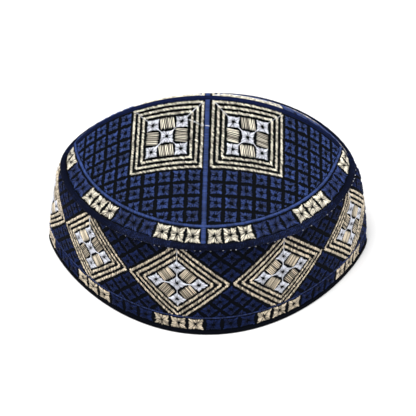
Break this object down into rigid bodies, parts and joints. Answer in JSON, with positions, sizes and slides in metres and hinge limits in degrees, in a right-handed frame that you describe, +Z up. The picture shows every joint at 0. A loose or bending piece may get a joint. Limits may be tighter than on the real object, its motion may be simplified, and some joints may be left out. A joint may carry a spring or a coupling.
{
  "type": "kufi cap",
  "caption": "Folding embroidered kufi: two crown panels meeting in a ridge, a rolled crown edge, a flared side band and a rim binding, standing on its rim.",
  "frame": {"origin": "on the surface the cap stands on, under the middle of its box", "axes": "+X along the ridge towards the right-hand fold, -Y towards the front of the cap, +Z up"},
  "size_m": [0.2142, 0.1774, 0.1155],
  "materials": {
    "crown_embroidery": "black cloth covered with blue, beige and white satin stitches",
    "side_embroidery": "black cloth covered with dark blue, beige and white satin stitches",
    "navy_edge": "dark navy thread and cloth, matt",
    "rim_cloth": "plain midnight navy cloth binding, matt"
  },
  "bodies": {
    "root": {"crown_front_panel": "crown_embroidery", "crown_back_panel": "crown_embroidery", "ridge_seam": "navy_edge", "crown_edge_roll": "navy_edge", "side_band": "side_embroidery", "rim_binding": "rim_cloth"}
  },
  "joints": []
}
